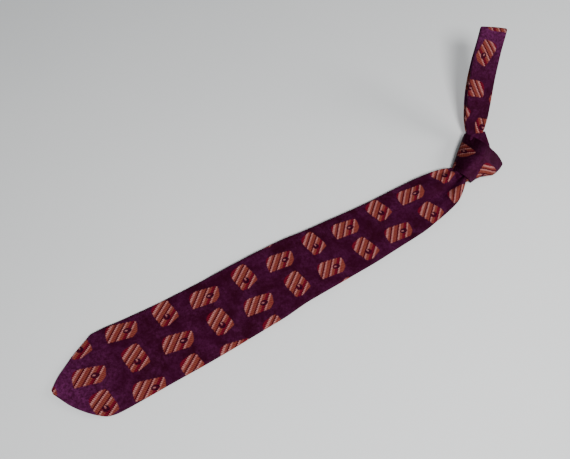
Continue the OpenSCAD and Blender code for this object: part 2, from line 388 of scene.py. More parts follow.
LONG_MOTIF = Motif([(-1.70, -0.90), (-1.46, 0.42), (-1.10, 0.86), (-0.50, 0.96), (1.80, 0.52),
                    (1.95, 0.18), (1.62, -0.74), (0.95, -1.22)],
                   stripe_turn=44, eye=(0.70, -0.27), eye_size=(0.46, 0.31),
                   comma=(0.58, -0.24), comma_size=(0.18, 0.10))
TALL_MOTIF = Motif([(-1.26, 0.50), (-1.14, 1.00), (-0.72, 1.32), (0.42, 1.54), (0.82, 1.46),
                    (1.22, -0.45), (1.14, -1.02), (-0.27, -1.52), (-0.94, -1.38)],
                   stripe_turn=37.5, eye=(0.0, -0.48), eye_size=(0.38, 0.38),
                   comma=(0.0, -0.32), comma_size=(0.10, 0.19))


def motif_pattern(n, x, y, m):
    """Colour, cover and ribs of one motif, from the place in the cloth measured from its middle."""
    cos, sin = math.cos(m.stripe_turn), math.sin(m.stripe_turn)
    rib = n.wave(n.add(n.mul(x, cos), n.mul(y, sin)), RIB)

    # Outline: the farthest of its sides, rounded where two meet, with stepped edges
    reach = None
    for (x0, y0), (x1, y1) in zip(m.outline, m.outline[1:] + m.outline[:1]):
        size = math.hypot(x1 - x0, y1 - y0)
        out = ((y0 - y1) / size, (x1 - x0) / size)
        side = n.sub(n.add(n.mul(x, out[0]), n.mul(y, out[1])), out[0] * x0 + out[1] * y0)
        reach = side if reach is None else n.math("SMOOTH_MAX", reach, side, CORNER)
    cover = n.inside(n.add(reach, n.mul(n.sub(rib, 0.5), EDGE_STEP)), EDGE_SOFT)

    stripe = n.add(n.sub(n.mul(x, sin), n.mul(y, cos)), n.mul(n.sub(rib, 0.5), STRIPE_STEP))
    stops = [((edge + STRIPE_REACH) / (2 * STRIPE_REACH), tint) for edge, tint in STRIPES]
    tint = n.ramp(n.math("DIVIDE", n.add(stripe, STRIPE_REACH), 2 * STRIPE_REACH), stops, "CONSTANT")
    for middle, size, spot in ((m.eye, m.eye_size, EYE), (m.comma, m.comma_size, COMMA)):
        dx = n.math("DIVIDE", n.sub(x, middle[0]), size[0])
        dy = n.math("DIVIDE", n.sub(y, middle[1]), size[1])
        away = n.math("SQRT", n.add(n.mul(dx, dx), n.mul(dy, dy)))
        tint = n.colour(n.inside(n.sub(away, 1.0), SPOT_SOFT), tint, spot)
    return tint, cover, rib


def silk_material():
    """Plum silk with two alternating striped motifs, woven at their real size."""
    n = Nodes("silk_jacquard")
    place = n.make("ShaderNodeUVMap", uv_map="cloth").outputs[0]
    split = n.make("ShaderNodeSeparateXYZ")
    n.put(split.inputs[0], place)
    u, v = split.outputs[0], split.outputs[1]

    row = n.math("FLOOR", n.add(n.math("DIVIDE", v, ROW_STEP), 0.5))
    across = n.sub(v, n.mul(row, ROW_STEP))
    odd = n.math("ABSOLUTE", n.math("MODULO", row, 2.0))
    along = n.sub(n.sub(u, FIRST_MOTIF), n.mul(odd, ROW_SHIFT))
    from_long = n.math("WRAP", along, REPEAT / 2, -REPEAT / 2)
    from_tall = n.math("WRAP", n.sub(along, NEXT_MOTIF), REPEAT / 2, -REPEAT / 2)
    long_tint, long_cover, long_rib = motif_pattern(n, from_long, across, LONG_MOTIF)
    tall_tint, tall_cover, tall_rib = motif_pattern(n, from_tall, across, TALL_MOTIF)
    tall = n.math("GREATER_THAN", tall_cover, long_cover)
    motif = n.math("MAXIMUM", long_cover, tall_cover)
    rib = n.choose(tall, long_rib, tall_rib)
    striped = n.colour(tall, long_tint, tall_tint)
    worn = n.noise(place, 3.4, 3.0, 0.65)
    # Painted shade in the furrows between a motif's ribs
    striped = n.colour(n.mul(n.sub(1.0, rib), 0.85), striped, FURROW_SHADE, "MULTIPLY")
    striped = n.colour(n.fade(worn, (0.45, 0.0), (0.75, 0.6)), striped, CRIMSON)

    # Ground: a fine crepe weave, uneven in dye, rubbed paler in patches, and with painted sheen near the tip
    twill = n.wave(n.add(u, n.mul(v, 1.35)), TWILL)
    cross = n.wave(n.sub(v, n.mul(u, 0.35)), CROSS_TWILL)
    cloud = n.noise(place, 0.30, 3.0, 0.55)
    patch = n.noise(place, 0.55, 4.0, 0.6)
    fleck = n.noise(place, 2.6, 4.0, 0.8)
    fine = n.noise(place, 9.0, 2.0, 0.7)
    ground = n.colour(n.fade(cloud, (0.38, 0.0), (0.62, 1.0)), GROUND, GROUND_WARM)
    rubbed = n.fade(patch, (0.40, 0.02), (0.68, 0.38))
    # Painted sheen: the ground is painted paler towards the tip
    tip = n.fade(n.math("DIVIDE", u, TIP_SHEEN), (0.05, 0.7), (0.75, 0.0))
    speckled = n.fade(fleck, (0.40, 0.0), (0.62, 1.0))
    grain = n.add(n.mul(speckled, 0.6), n.add(n.mul(twill, 0.2), n.mul(fine, 0.2)))
    ground = n.colour(n.mul(grain, n.add(n.add(rubbed, tip), 0.08)), ground, GROUND_PALE_AND_SHEEN)

    # Painted shade: the attribute is there on the knot's front only, and counts as zero elsewhere
    shade = n.make("ShaderNodeAttribute", attribute_name="shade").outputs["Fac"]
    ground = n.colour(shade, ground, SHADED, "MULTIPLY")
    striped = n.colour(n.mul(shade, 0.55), striped, SHADED, "MULTIPLY")
    n.put(n.shader.inputs["Base Color"], n.colour(motif, ground, striped))
    n.put(n.shader.inputs["Roughness"], n.add(n.add(0.42, n.mul(motif, 0.14)), n.mul(fleck, 0.14)))
    weave = n.add(n.add(n.mul(twill, 0.5), n.mul(cross, 0.3)), n.mul(fine, 1.1))
    ribbed = n.add(1.1, n.mul(rib, 1.8))
    raised = n.add(n.mul(n.sub(1.0, motif), weave), n.mul(motif, ribbed))
    n.put(n.shader.inputs["Normal"], n.bump(raised, 0.12 * MM, 0.6))
    n.constant(Specular_IOR_Level=0.02, Specular_Tint=(0.95, 0.42, 0.82, 1), Sheen_Weight=0.012,
               Sheen_Roughness=0.4, Sheen_Tint=(0.62, 0.10, 0.44, 1))
    return n.material


def cloth_material(name, dark, light, scale, roughness, period=None):
    """A plain cloth or felt: mottled colour, with a weave where a period is given in millimetres."""
    n = Nodes(name)
    place = n.make("ShaderNodeTexCoord").outputs["Object"]
    fuzz = n.noise(place, scale, 5.0, 0.65)
    n.put(n.shader.inputs["Base Color"], n.colour(fuzz, dark, light))
    height = fuzz
    if period:
        split = n.make("ShaderNodeSeparateXYZ")
        n.put(split.inputs[0], place)
        height = n.mul(n.wave(split.outputs[0], period * MM), n.wave(split.outputs[1], period * MM))
    n.put(n.shader.inputs["Roughness"], n.add(roughness, n.mul(fuzz, 0.12)))
    n.put(n.shader.inputs["Normal"], n.bump(height, 0.15 * MM, 0.5))
    n.constant(Specular_IOR_Level=0.3, Sheen_Weight=0.3)
    return n.material


SILK = silk_material()
LINING = cloth_material("lining_cloth", (0.050, 0.008, 0.032, 1), (0.085, 0.018, 0.058, 1), 900, 0.42, 0.45)
WOOL = cloth_material("wool_felt", (0.58, 0.50, 0.38, 1), (0.78, 0.70, 0.58, 1), 1500, 0.86)
THREAD = cloth_material("sewing_thread", (0.060, 0.010, 0.040, 1), (0.13, 0.030, 0.090, 1), 3000, 0.6)


def finish_piece(obj, material, slot_name, *nodes):
    """Gives a piece its material and hides the CAD nodes that it stands for. slot_name is not used."""
    obj.data.materials.clear()
    obj.data.materials.append(material)
    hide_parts(*nodes)


# ---- Folded strips of cloth ----------------------------------------------------------------

def strip_section(half, cloth_half, radius, slit, front=44, edge=6, back=10):
    """Points round a folded strip as (sideways, up from the middle, place across the cloth).

    The cloth starts at the slit in the middle of the back, goes round the -Y edge, over the front
    and round the +Y edge, back to the slit. cloth_half is the cloth's own half width on the front:
    it is more than half where the cloth is gathered.
    """
    flat = half - radius
    turn = math.pi * radius
    points = []
    for t in steps(0, 1, back - 1)[:-1]:
        y = mix(-slit / 2, -flat, t)
        points.append((y, -radius, -cloth_half - turn - (flat + y)))
    for a in steps(-90, -270, edge)[:-1]:
        points.append((-flat + radius * math.cos(math.radians(a)), radius * math.sin(math.radians(a)),
                       -cloth_half - turn * (a + 270) / 180))
    for t in steps(-1, 1, front)[:-1]:
        points.append((flat * t, radius, cloth_half * t))
    for a in steps(90, -90, edge)[:-1]:
        points.append((flat + radius * math.cos(math.radians(a)), radius * math.sin(math.radians(a)),
                       cloth_half + turn * (90 - a) / 180))
    for t in steps(0, 1, back - 1):
        y = mix(flat, slit / 2, t)
        points.append((y, -radius, cloth_half + turn + (flat - y)))
    return points


CLOSED = 0.01 * MM      # the slit of felt that is wrapped right round


def silk_section(half, thickness, slit, *counts):
    """The section of a silk strip, whose slit always fits between its rolled edges."""
    radius = min(thickness / 2, 0.8 * half)
    return strip_section(half, half - radius, radius, min(slit, 1.6 * (half - radius) + 0.01 * MM), *counts)


def lay_interlining(name, rings, body):
    """Wool felt inside a strip. rings pairs points with places in the cloth.
    """
    rows = [[point for point, place in ring] for ring in rings]
    cloth = [[place for point, place in ring] for ring in rings]
    obj = add_grid(name, rows, cloth, close_columns=True)
    finish_piece(obj, WOOL, "interlining", name)
    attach(obj, body)


def lay_tipping(name, place, ends, halves, body, up):
    """A thin lining inside a point. place maps along, across and up.

    It widens from the first of ends to the second, up to the first of halves, and narrows from
    there to the third, down to the second of halves.
    """
    start, widest, end = ends
    rows, cloth = [], []
    for u in steps(start, end, 40):
        half = (line(u, start, widest, 0.4 * MM, halves[0]) if u < widest
                else line(u, widest, end, halves[0], halves[1]))
        across = steps(-half, half, 16)
        rows.append([place(u, y, up) for y in across])
        cloth.append([(u / CM, y / CM) for y in across])
    obj = add_grid(name, rows, cloth)
    thicken(obj, 0.25 * MM, 0)
    finish_piece(obj, LINING, "lining", name)
    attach(obj, body)


# ---- Sewing --------------------------------------------------------------------------------

STITCH_R = 0.19 * MM
TACK_R = 0.2 * MM
NECK_STITCH_R = 0.18 * MM


def above_table(p, radius):
    """A thread's or strap's middle, lifted where it would sink into the table.

    radius is half its thickness.
    """
    return Vector((p.x, p.y, max(p.z, radius + 0.03 * MM)))


def sew(name, threads, body):
    """One piece from (points, faces) threads."""
    obj = outward(join_meshes(name, threads))
    finish_piece(obj, THREAD, "thread", name)
    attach(obj, body)


def stitch_row(name, place, start, end, pitch, body, up):
    """Slip stitches: short slanted threads that dip in and out of the seam."""
    length, slant, dip = 0.66 * pitch, 0.22 * MM, 0.18 * MM
    threads = []
    for i in range(int((end - start) / pitch)):
        u = start + i * pitch
        path = [place(u + length * t, slant * (2 * t - 1), up - dip * math.sin(math.pi * t))
                for t in steps(0, 1, 6)]
        threads.append(tube([above_table(p, STITCH_R) for p in path], STITCH_R))
    sew(name, threads, body)


def bar_tack(name, place, u, width, body, up):
    """Close stitches side by side across the end of a seam, each a little uneven."""
    count, pitch, dip = 7, 0.42 * MM, 0.22 * MM
    threads = []
    for i in range(count):
        slope = 0.25 * MM * math.sin(i * 2.3)
        path = [place(u + i * pitch + slope * (2 * t - 1), width * (t - 0.5),
                      up - dip * math.sin(math.pi * t)) for t in steps(0, 1, 8)]
        threads.append(tube([above_table(p, TACK_R) for p in path], TACK_R))
    sew(name, threads, body)


# ---- Front blade ---------------------------------------------------------------------------

# The blade's two edges as it lies, in millimetres along and across
LEFT_EDGE = [(0, 15), (10, 24.3), (20, 30.8), (30, 37.2), (40, 42.3), (50, 47), (57, 49.8), (66, 49.7),
             (85, 48.2), (130, 45), (200, 43), (280, 41.4), (320, 37.2), (360, 34), (400, 30.8),
             (440, 29.6), (460, 28.6), (483, 26.2), (497, 24.2), (512, 21), (521, 17.5), (526, 14),
             (531, 9), (540, 8)]
RIGHT_EDGE = [(0, 9.5), (4, 2), (10, -9), (20, -22.4), (30, -32.6), (40, -39.8), (50, -42), (62, -42.6),
              (100, -43), (160, -43.8), (240, -43.6), (280, -41), (360, -41), (400, -39.6),
              (440, -37.9), (460, -35.4), (485, -31.4), (500, -27.8), (512, -21.5), (522, -14.6),
              (531, -8), (540, -7)]

# Along the blade, u runs from its tip
POINT = 57 * MM                     # the point ends, and the blade has its full width
BLADE_SEAM = 172 * MM               # the silk's two edges meet on the back
TAIL_U = TAIL_LOW[0] - TIP_X
HINGE_U = LIFT_HINGE.x - TIP_X
MOUTH_U = MOUTH_X - TIP_X
WAIST_U = MOUTH_U - 78 * MM         # the gathers start
INTO_KNOT = 12 * MM                 # how far a strip runs on into the knot

BLADE_W = 92 * MM
BLADE_T = 3.6 * MM
BLADE_HEM = 14 * MM
BLADE_SLIT = 0.7 * MM


def blade_edges(u):
    return smooth_line(LEFT_EDGE, u / MM) * MM, smooth_line(RIGHT_EDGE, u / MM) * MM


def blade_half(u):
    left, right = blade_edges(u)
    return (left - right) / 2


def blade_centre(u):
    left, right = blade_edges(u)
    return (left + right) / 2


def blade_under(u):
    """Height of the blade's underside: on the table, then over the tail and up into the knot."""
    on_table, on_tail = 0.3 * MM, 3.7 * MM
    to_knot = MOUTH_U * RISE - 3.2 * MM
    return (ramp(u, TAIL_U - 90 * MM, TAIL_U + 12 * MM, on_table, on_tail)
            + ramp(u, WAIST_U - 10 * MM, MOUTH_U + 4 * MM, 0, to_knot))


def blade_drift(u):
    """How far the woven rows lie from the centre line, in centimetres: the cloth was cut askew."""
    return 3.55 * math.exp(-(u / CM - FIRST_MOTIF) / 17.5) - 2.6


def blade_cloth(u, y):
    """The place in the cloth of a point of the front, in centimetres."""
    a, b = u / CM, y / CM
    pull = ramp(a, 27, 36, 0, 0.28 + 0.12 * (b + 2)) - ramp(a, 43, 51, 0, 0.30)
    return a + pull, b * ramp(a, 42, 50, 1, 1.10) - blade_drift(u) - ramp(a, 46, 51, 0, 0.35)


def blade_ripple(u, y):
    """Soft unevenness of the lying cloth, from waves given in radians for each metre."""
    wave = (math.sin(u * 61 + 0.6) * math.cos(y * 48 + u * 17) + 0.6 * math.sin(u * 133 - y * 71 + 2.1)
            + 0.35 * math.sin(u * 260 + y * 140))
    return 0.30 * MM * wave * ramp(u, 0, 40 * MM, 0.3, 1)


def blade_gather(u, t):
    """Rise and fall across the gathered cloth near the knot; t runs from -1 to 1 across it."""
    near = ramp(u, WAIST_U - 12 * MM, MOUTH_U, 0, 1)
    crease = -3.6 * MM * bulge(t, -0.18, 0.22) - 1.6 * MM * bulge(t, 0.74, 0.14)
    folds = 2.4 * MM * bulge(t, 0.30, 0.24) + 1.9 * MM * bulge(t, -0.66, 0.20)
    return near ** 1.3 * (crease + folds)


def blade_point(u, y, up, t=None):
    """A point of the blade, from its place along, across and above the underside.

    t is its share of the way from the middle to the edge, where that isn't y's own.
    """
    half = blade_half(u)
    t = y / half if t is None else t
    lift = blade_gather(u, t)
    ripple = blade_ripple(u, y) * (1 if up > 0.5 * BLADE_T else 0.2)
    return Vector((TIP_X + u, blade_centre(u) + y, max(0.05 * MM, blade_under(u) + up + ripple + lift)))


def blade_slit(u):
    """Width of the opening between the silk's turned edges on the back."""
    if u < POINT:
        return max(BLADE_SLIT, 2 * (blade_half(u) - BLADE_HEM))
    return line(u, POINT, BLADE_SEAM, BLADE_W - 2 * BLADE_HEM, BLADE_SLIT)


def build_front_blade():
    us = steps(0, POINT, 34)[:-1] + steps(POINT, WAIST_U, 150)[:-1] + steps(WAIST_U, MOUTH_U + INTO_KNOT, 60)
    rows, cloth = [], []
    for u in us:
        half, centre = blade_half(u), blade_centre(u)
        section = silk_section(half, BLADE_T, blade_slit(u))
        rows.append([blade_point(u, y, z + BLADE_T / 2, y / half) for y, z, q in section])
        cloth.append([blade_cloth(u, centre + q) for y, z, q in section])
    obj = add_grid("front_blade_silk", rows, cloth)
    thicken(obj, 0.45 * MM, 1.0)
    finish_piece(obj, SILK, "silk", "front_blade_silk")
    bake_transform(obj)


def build_blade_interlining():
    start, end = 20 * MM, WAIST_U + 40 * MM
    rings = []
    for u in steps(start, end, 120):
        outer = blade_half(u)
        half = outer - 3 * MM
        rings.append([(blade_point(u, y, z + 2.0 * MM, y / outer), (u / CM, q / CM))
                      for y, z, q in strip_section(half, half, 0.6 * MM, CLOSED, 30, 4, 8)])
    lay_interlining("front_blade_interlining", rings, "front_blade")


def build_keeper():
    """The strap across the back that holds the tail; its ends are sewn to the blade."""
    start, width, reach, thickness = 196 * MM, 14 * MM, 27 * MM, 0.5 * MM
    across = steps(-reach, reach, 36)
    heights = [-0.35 * MM - 0.95 * MM * (1 - (abs(y) / reach) ** 6) for y in across]
    rows, cloth = [], []
    for u in steps(start, start + width, 10):
        rows.append([above_table(blade_point(u, y, h), thickness / 2) for y, h in zip(across, heights)])
        cloth.append([((y + 0.3) / CM, u / CM) for y in across])
    obj = add_grid("keeper_loop", rows, cloth)
    thicken(obj, thickness, 0)
    finish_piece(obj, SILK, "silk", "keeper_loop")
    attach(obj, "front_blade")


# ---- Tail ----------------------------------------------------------------------------------

# Along the tail, u runs from its tip
TAIL_POINT = 25 * MM
TAIL_SEAM = 75 * MM
TAIL_LEN = TAIL_HIGH[0] - TAIL_LOW[0]

TAIL_Y = SWING_HINGE.y
TAIL_W = TAIL_HIGH[1] - TAIL_LOW[1]
TAIL_T = 2.8 * MM
TAIL_HEM = 10 * MM
TAIL_SLIT = 0.6 * MM
TAIL_CORNERS = [(0, 2.4 * MM), (TAIL_POINT, TAIL_W / 2), (TAIL_LEN - 60 * MM, 15 * MM),
                (TAIL_LEN - 25 * MM, 10 * MM), (TAIL_LEN, 7 * MM)]


def tail_half(u):
    """Half the tail's width, which is narrowest in the knot."""
    for (u0, half0), (u1, half1) in zip(TAIL_CORNERS, TAIL_CORNERS[1:]):
        if u < u1:
            break
    return line(u, u0, u1, half0, half1)


def tail_slit(u):
    """Width of the opening between the silk's turned edges on the back."""
    slit = (2 * (tail_half(u) - TAIL_HEM) if u < TAIL_POINT
            else line(u, TAIL_POINT, TAIL_SEAM, TAIL_W - 2 * TAIL_HEM, TAIL_SLIT))
    return max(TAIL_SLIT, slit)


def tail_point(u, y, up):
    """A point of the tail, which lies on the table and rises to the knot at its end."""
    rise = ramp(u, TAIL_LEN - 80 * MM, TAIL_LEN, 0, TAIL_LEN * RISE)
    return Vector((TAIL_LOW[0] + u, TAIL_Y + y, rise + up + 0.03 * MM))


def build_tail():
    rows, cloth = [], []
    for u in steps(0, TAIL_POINT, 12)[:-1] + steps(TAIL_POINT, TAIL_LEN + INTO_KNOT, 110):
        section = silk_section(tail_half(u), TAIL_T, tail_slit(u), 26, 5, 8)
        rows.append([tail_point(u, y, z + TAIL_T / 2) for y, z, q in section])
        cloth.append([(-u / CM, q / CM + 1.1) for y, z, q in section])
    obj = add_grid("tail_silk", rows, cloth)
    thicken(obj, 0.35 * MM, 1.0)
    finish_piece(obj, SILK, "silk", "tail_silk", "tail_strand_in_knot")
    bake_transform(obj)


def build_tail_interlining():
    start, end = 10 * MM, TAIL_LEN - 2 * MM
    rings = []
    for u in steps(start, end, 60):
        half = tail_half(u) - 2.2 * MM
        rings.append([(tail_point(u, y, z + 1.65 * MM), (u / CM, q / CM))
                      for y, z, q in strip_section(half, half, 0.4 * MM, CLOSED, 16, 3, 5)])
    lay_interlining("tail_interlining", rings, "tail")


# ---- Neck loop -----------------------------------------------------------------------------

LOOP_T = 2.8 * MM
FOLD_R = 3.0 * MM
LOOP_START = 11 * MM
LOOP_END = LOOP_LENGTH - FOLD_R - LOOP_T / 2
FELT_START = 18 * MM      # past the stretch where the silk bends with the loop
FOLD_AT = 165 * MM        # from the band's start in the knot to its crease, along the cloth


def loop_point(s, y, z):
    """From the loop's own frame, along, across and out of its plane, to the row frame."""
    ahead = math.cos(LOOP_SLOPE) * LOOP_OUT + math.sin(LOOP_SLOPE) * UP
    normal = math.cos(LOOP_SLOPE) * UP - math.sin(LOOP_SLOPE) * LOOP_OUT
    return LOOP_HINGE + s * ahead + y * LOOP_SIDE + z * normal


def stub_point(s, z):
    """A point of a strand inside the knot, where the strands lie level."""
    p = LOOP_HINGE + s * LOOP_OUT
    return Vector((p.x, p.y, z))


def strand_height(s, bow):
    """How far a strand stands off the loop's plane, bowed out in the middle by bow."""
    t = (s - LOOP_START) / (LOOP_END - LOOP_START)
    return line(s, LOOP_START, LOOP_END, LOOP_T / 2 + 0.3 * MM, FOLD_R) + bow * math.sin(math.pi * t)


def smooth_path(points, step):
    """Points about a step apart on a Catmull-Rom curve through points."""
    full = [2 * points[0] - points[1]] + points + [2 * points[-1] - points[-2]]
    fine = []
    for i in range(1, len(full) - 2):
        a, b, c, d = full[i - 1:i + 3]
        fine += [curve_point(a, b, c, d, t) for t in steps(0, 1, 24)[:-1]]
    fine.append(points[-1])
    out, gone = [fine[0]], 0.0
    for a, b in zip(fine, fine[1:]):
        gone += (b - a).length
        if gone >= step:
            out.append(b)
            gone = 0.0
    out.append(fine[-1])
    return out


# Along the loop from its hinge, in millimetres: its width, and how far it leans to its left
LOOP_WIDTHS = [(-25, 19), (-4, 20), (8, 25), (22, 29), (65, 31.5), (128, 32.5)]
LOOP_SWAY = [(0, 0), (30, 1.6), (62, 2.8), (95, 1.2), (128, -2.2), (140, -2.8)]

# Along the loop from its crease down to the knot: place in centimetres, and how far the cloth has run
LOOP_RUN = [(-30, -31), (-1, -2), (0, -1.4), (1.3, 0.3), (3.9, 3.69), (8.6, 8.53), (12.2, 12.8),
            (13.6, 14.05), (30, 30.2)]


def loop_cloth(gone, q):
    """The place in the cloth, in centimetres: the rows run down to the knot and a little to the left."""
    down = (FOLD_AT - gone) / CM
    right = -q / CM
    along = smooth_line(LOOP_RUN, down) - 0.25 * (right + 0.4)
    drift = 0.14 * (down - 3.3) + ramp(down, 3, 9, 0, 0.25) + ramp(down, 9, 13.5, 0, 0.6)
    return along, right + drift


def neckband_path():
    """The band's middle line: out of the knot, up to the crease, and down into the knot below."""
    upper = [stub_point(-25 * MM, 12.8 * MM), stub_point(-12 * MM, 12.9 * MM), stub_point(-4 * MM, 13.6 * MM)]
    upper += [loop_point(s, 0, strand_height(s, 3.8 * MM)) for s in steps(LOOP_START, LOOP_END, 8)]
    crease = [loop_point(LOOP_END + FOLD_R * math.sin(math.radians(a)), 0, FOLD_R * math.cos(math.radians(a)))
              for a in (30, 60, 90, 120, 150)]
    lower = [loop_point(s, 0, -strand_height(s, 6.5 * MM)) for s in steps(LOOP_END, LOOP_START, 8)]
    lower += [stub_point(-4 * MM, 9.4 * MM), stub_point(-12 * MM, 9.5 * MM), stub_point(-25 * MM, 9.6 * MM)]
    return smooth_path(upper + crease + lower, 1.3 * MM)


def neckband_surface(y, z, half, gone):
    """Height of the band's surface: the front is crowned, and the whole band is a little uneven."""
    crown = 0.35 * MM * (1 - (y / half) ** 2) if z > 0 else 0
    return z + crown + 0.18 * MM * math.sin(gone * 95 + y * 120)


def build_neckband():
    path = neckband_path()
    rows, cloth, felt_rings, seam = [], [], [], []
    gone = 0.0
    for i, middle in enumerate(path):
        ahead = (path[min(i + 1, len(path) - 1)] - path[max(i - 1, 0)]).normalized()
        up = ahead.cross(LOOP_SIDE).normalized()
        gone += (middle - path[i - 1]).length if i else 0
        s = (middle - LOOP_HINGE).dot(LOOP_OUT) / math.cos(LOOP_SLOPE)
        half = smooth_line(LOOP_WIDTHS, min(s, LOOP_END) / MM) * MM / 2
        p = middle + smooth_line(LOOP_SWAY, s / MM) * MM * LOOP_SIDE
        section = silk_section(half, LOOP_T, 0.5 * MM, 24, 5, 8)
        rows.append([p + y * LOOP_SIDE + neckband_surface(y, z, half, gone) * up for y, z, q in section])
        cloth.append([loop_cloth(gone, q) for y, z, q in section])
        if s > FELT_START:
            felt = strip_section(half - 2.2 * MM, half, 0.45 * MM, CLOSED, 14, 3, 5)
            felt_rings.append([(p + y * LOOP_SIDE + z * up, (gone / CM, q / CM)) for y, z, q in felt])
            seam.append((p, up))
    obj = add_grid("neckband_silk", rows, cloth)
    thicken(obj, 0.4 * MM, 1.0)
    finish_piece(obj, SILK, "silk", "neckband_silk", "passive_strand_in_knot", "active_strand_in_knot")
    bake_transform(obj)
    lay_interlining("neckband_interlining", felt_rings, "neck_loop")
    sew_neckband(seam)


def sew_neckband(seam):
    """Slip stitches along the band's back. seam holds its middle points and their way up."""
    threads = []
    for k in range(4, len(seam) - 6, 6):
        thread = []
        for j, (p, up) in enumerate(seam[k:k + 5]):
            out = (0.02 if j in (0, 4) else 0.16) * MM
            thread.append(p + 0.12 * MM * (j - 2) * LOOP_SIDE - (LOOP_T / 2 + out) * up)
        threads.append(tube(thread, NECK_STITCH_R))
    sew("neckband_slip_stitch", threads, "neck_loop")


# ---- Knot ----------------------------------------------------------------------------------

WRAP_BASE = BACK_TOP + 0.2 * MM


def plan_line(corners, t):
    """A point part of the way along a line through corners, seen from above in millimetres."""
    points = [Vector((x * MM, y * MM, 0)) for x, y in corners]
    lengths = [(b - a).length for a, b in zip(points, points[1:])]
    left = max(0.0, min(1.0, t)) * sum(lengths)
    for a, b, length in zip(points, points[1:], lengths):
        if left <= length:
            return a.lerp(b, left / length)
        left -= length
    return points[-1]


# Rings of a wrap, as (place from its left side to its right side, share of its height)
MOUTH_RING = [(0.0, 0.30), (0.07, 0.52), (0.20, 0.70), (0.38, 0.87), (0.56, 0.985), (0.66, 0.99),
              (0.80, 0.88), (0.93, 0.62), (1.0, 0.30), (1.0, 0.0), (0.975, -0.12), (0.92, 0.02), (0.70, 0.0),
              (0.30, 0.0), (0.08, 0.02), (0.0, 0.02)]
FAR_RING = [(0.0, 0.50), (0.03, 0.68), (0.15, 0.80), (0.32, 0.93), (0.46, 1.0), (0.54, 0.985),
            (0.69, 0.72), (0.84, 0.40), (0.98, 0.14), (1.0, 0.0), (0.975, -0.09), (0.92, 0.02), (0.70, 0.0),
            (0.30, 0.0), (0.04, 0.02), (0.0, 0.12)]
FLAT_RING = [(0.0, 0.5), (0.015, 0.85), (0.06, 1.0), (0.25, 1.0), (0.5, 1.0), (0.75, 1.0), (0.94, 1.0),
             (0.985, 0.85), (1.0, 0.5), (0.985, 0.15), (0.94, 0.0), (0.75, 0.0), (0.5, 0.0), (0.25, 0.0),
             (0.06, 0.0), (0.015, 0.15)]
RING_FINE = 5     # points of a loop for each point of its ring
RIDGE = 22        # the point of a loop's top that the pattern is measured from
BAND_STEPS = 30
ROLL_ANGLES = [math.radians(a) for a in (30, 60, 90, 120, 150)]


def knot_ring(left, right, low, high, shape, shrink):
    """A closed loop of points from left to right, between two heights, drawn smaller by shrink."""
    reach = right - left
    ahead = reach.normalized()
    middle = (left + right) / 2
    half = reach.length / 2 - shrink
    base, tall = low + shrink, high - low - 2 * shrink
    corners = [middle + ahead * half * (2 * x - 1) + Vector((0, 0, base + tall * z)) for x, z in shape]
    count = len(corners)
    points = []
    for i in range(count):
        a, b, c, d = (corners[(i + k) % count] for k in (-1, 0, 1, 2))
        points += [curve_point(a, b, c, d, t) for t in steps(0, 1, RING_FINE)[:-1]]
    return points + points[:1]


def turned_cloth(turn, offset):
    """The place in the cloth of a band that was cut at an angle to the rows, in centimetres."""
    cos, sin = math.cos(math.radians(turn)), math.sin(math.radians(turn))
    return lambda along, across, past: (offset[0] + along * cos - across * sin,
                                        offset[1] + along * sin + across * cos)


def front_cloth(along, across, past):
    """The last wrap's cloth: it twists where it goes over the ridge, past which past is above zero.

    Beyond a row's reach the cloth is squeezed, so that the row beside it stays hidden.
    """
    reach, below, squeeze = 1.9, -2.0, 0.1
    if past < 0:
        u, v = turned_cloth(4, (3.51, -3.22))(along, across, past)
    else:
        u, v = turned_cloth(-10, (FIRST_MOTIF + NEXT_MOTIF, 0))(along - 5.5, across - 2.55, past)
        v = max(v, below + squeeze * (v - below))
    return u, min(v, reach + squeeze * (v - reach))


def knot_band(name, ring, thickness, cloth_at):
    """A closed band of folded cloth. ring(t, shrink) gives its loops from edge to edge."""
    roll = thickness / 2
    rings = [ring(t, 0.0) for t in steps(0, 1, BAND_STEPS)]
    width = sum((q - p).length for a, b in zip(rings, rings[1:]) for p, q in zip(a, b)) / len(rings[0])
    small = roll / width
    ridge_at = path_length(rings[BAND_STEPS // 2][:RIDGE + 1])

    # Once round the band's section: over the outside, round one edge, back inside, round the other
    stations = [(t, 0.0) for t in steps(small, 1 - small, BAND_STEPS)]
    stations += [(1 - small + small * math.sin(a), roll * (1 - math.cos(a))) for a in ROLL_ANGLES]
    stations += [(t, thickness) for t in steps(1 - small, small, BAND_STEPS // 2)]
    stations += [(small - small * math.sin(a), roll * (1 + math.cos(a))) for a in ROLL_ANGLES]
    rows, cloth = [], []
    for t, shrink in stations + stations[:1]:
        loop = ring(t, shrink)
        rows.append(loop)
        gone = [0.0]
        for a, b in zip(loop, loop[1:]):
            gone.append(gone[-1] + (b - a).length)
        across = t * width / CM
        cloth.append([cloth_at((g - gone[RIDGE] + ridge_at) / CM, across, g - gone[RIDGE]) for g in gone])
    obj = outward(add_grid(name, rows, cloth, close_rows=True, close_columns=True))
    finish_piece(obj, SILK, "silk", name)
    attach(obj, "knot")
    # One loop more than BAND_STEPS is summed, which makes the cloth about 3 % longer than once round
    return obj


